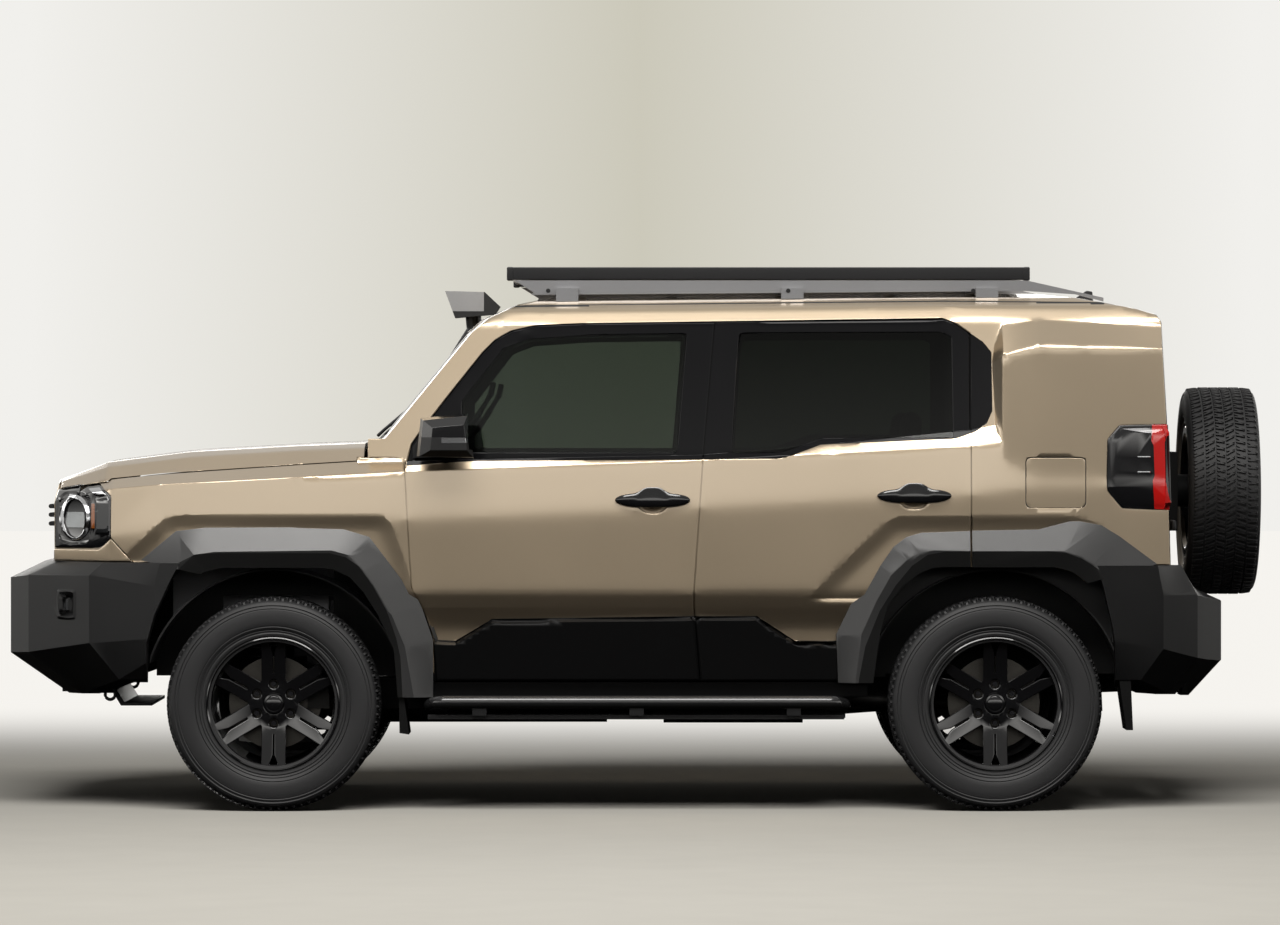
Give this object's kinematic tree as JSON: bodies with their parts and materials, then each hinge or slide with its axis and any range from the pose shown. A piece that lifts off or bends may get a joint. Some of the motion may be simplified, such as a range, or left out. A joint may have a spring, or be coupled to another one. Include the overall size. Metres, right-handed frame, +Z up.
{
  "type": "off-road car",
  "caption": "Lifted five-door off-road estate car with roof rack, snorkel, side steps, arch flares and a spare wheel on a side-hinged tailgate.",
  "frame": {"origin": "on the ground, in the middle of the car's length and width", "axes": "+X towards the front of the car, +Y towards its left side, +Z up"},
  "size_m": [4.564, 2.208, 1.949],
  "materials": {
    "paint": "satin metallic",
    "black_gloss": "gloss",
    "black_plastic": "textured",
    "grey_plastic": "satin",
    "glass": "tinted",
    "lamp": "gloss",
    "tail": "gloss",
    "tyre": "matt",
    "rim": "gloss black",
    "steel": "satin black",
    "cast": "rough",
    "engine": "cast",
    "underbody": "satin",
    "floor": "matt",
    "seat": "grained",
    "trim": "grained",
    "rail": "satin",
    "rack": "satin black",
    "flap": "matt"
  },
  "bodies": {
    "body": {"body_side_left": "paint", "body_side_right": "paint", "roof": "paint", "scuttle": "underbody", "wings": "paint", "nose": "paint", "headlamps": "lamp", "grille": "black_plastic", "windscreen": "glass", "tail_lamps": "tail", "flares": "grey_plastic", "front_bumper": "black_plastic", "rear_bumper": "black_plastic", "side_steps": "steel", "front_suspension": "cast", "rear_axle": "cast", "frame": "steel", "floor": "floor", "engine": "engine", "underbody": "underbody", "front_seats": "seat", "rear_seats": "seat", "dashboard": "trim", "steering_wheel": "trim", "snorkel": "black_plastic", "rack": "rack", "rack_rails": "rail", "mud_flaps": "flap"},
    "door_front_left": {"door_front_left": "paint", "handle_front_left": "black_gloss", "glass_front_left": "glass", "mirror_left": "black_gloss"},
    "door_front_right": {"door_front_right": "paint", "handle_front_right": "black_gloss", "glass_front_right": "glass", "mirror_right": "black_gloss"},
    "door_rear_left": {"door_rear_left": "paint", "handle_rear_left": "black_gloss", "glass_rear_left": "glass", "door_flare_left": "grey_plastic"},
    "door_rear_right": {"door_rear_right": "paint", "handle_rear_right": "black_gloss", "glass_rear_right": "glass", "door_flare_right": "grey_plastic"},
    "tailgate": {"tailgate": "paint", "gate_glass": "glass", "spare_carrier": "steel", "spare_tyre": "tyre", "spare_rim": "rim"},
    "bonnet": {"bonnet": "paint"},
    "knuckle_left": {"knuckle_left": "cast"},
    "knuckle_right": {"knuckle_right": "cast"},
    "wheel_front_left": {"wheel_front_tyre_left": "tyre", "wheel_front_rim_left": "rim"},
    "wheel_front_right": {"wheel_front_tyre_right": "tyre", "wheel_front_rim_right": "rim"},
    "wheel_rear_left": {"wheel_rear_tyre_left": "tyre", "wheel_rear_rim_left": "rim"},
    "wheel_rear_right": {"wheel_rear_tyre_right": "tyre", "wheel_rear_rim_right": "rim"}
  },
  "joints": [
    {"name": "door_front_left_hinge", "type": "hinge", "parent": "body", "child": "door_front_left", "pos_m": [0.827, 0.905, 1], "axis": [0, 0, -1], "range_deg": [0, 65]},
    {"name": "door_front_right_hinge", "type": "hinge", "parent": "body", "child": "door_front_right", "pos_m": [0.827, -0.905, 1], "axis": [0, 0, 1], "range_deg": [0, 65]},
    {"name": "door_rear_left_hinge", "type": "hinge", "parent": "body", "child": "door_rear_left", "pos_m": [-0.203, 0.907, 1], "axis": [0, 0, -1], "range_deg": [0, 65]},
    {"name": "door_rear_right_hinge", "type": "hinge", "parent": "body", "child": "door_rear_right", "pos_m": [-0.203, -0.907, 1], "axis": [0, 0, 1], "range_deg": [0, 65]},
    {"name": "tailgate_hinge", "type": "hinge", "parent": "body", "child": "tailgate", "pos_m": [-1.935, -0.8, 1.2], "axis": [0, 0, 1], "range_deg": [0, 90]},
    {"name": "bonnet_hinge", "type": "hinge", "parent": "body", "child": "bonnet", "pos_m": [0.972, 0, 1.29], "axis": [0, -1, 0], "range_deg": [0, 45]},
    {"name": "steer_left", "type": "hinge", "parent": "body", "child": "knuckle_left", "pos_m": [1.298, 0.7, 0.383], "axis": [0, 0, 1], "range_deg": [-25, 25]},
    {"name": "steer_right", "type": "hinge", "parent": "body", "child": "knuckle_right", "pos_m": [1.298, -0.7, 0.383], "axis": [0, 0, 1], "range_deg": [-25, 25]},
    {"name": "spin_front_left", "type": "hinge", "parent": "knuckle_left", "child": "wheel_front_left", "pos_m": [1.298, 0.778, 0.383], "axis": [0, 1, 0], "continuous": true},
    {"name": "spin_front_right", "type": "hinge", "parent": "knuckle_right", "child": "wheel_front_right", "pos_m": [1.298, -0.778, 0.383], "axis": [0, 1, 0], "continuous": true},
    {"name": "spin_rear_left", "type": "hinge", "parent": "body", "child": "wheel_rear_left", "pos_m": [-1.282, 0.778, 0.383], "axis": [0, 1, 0], "continuous": true},
    {"name": "spin_rear_right", "type": "hinge", "parent": "body", "child": "wheel_rear_right", "pos_m": [-1.282, -0.778, 0.383], "axis": [0, 1, 0], "continuous": true}
  ],
  "couplings": [
    {"joint": "steer_right", "follows": "steer_left", "ratio": 1}
  ]
}
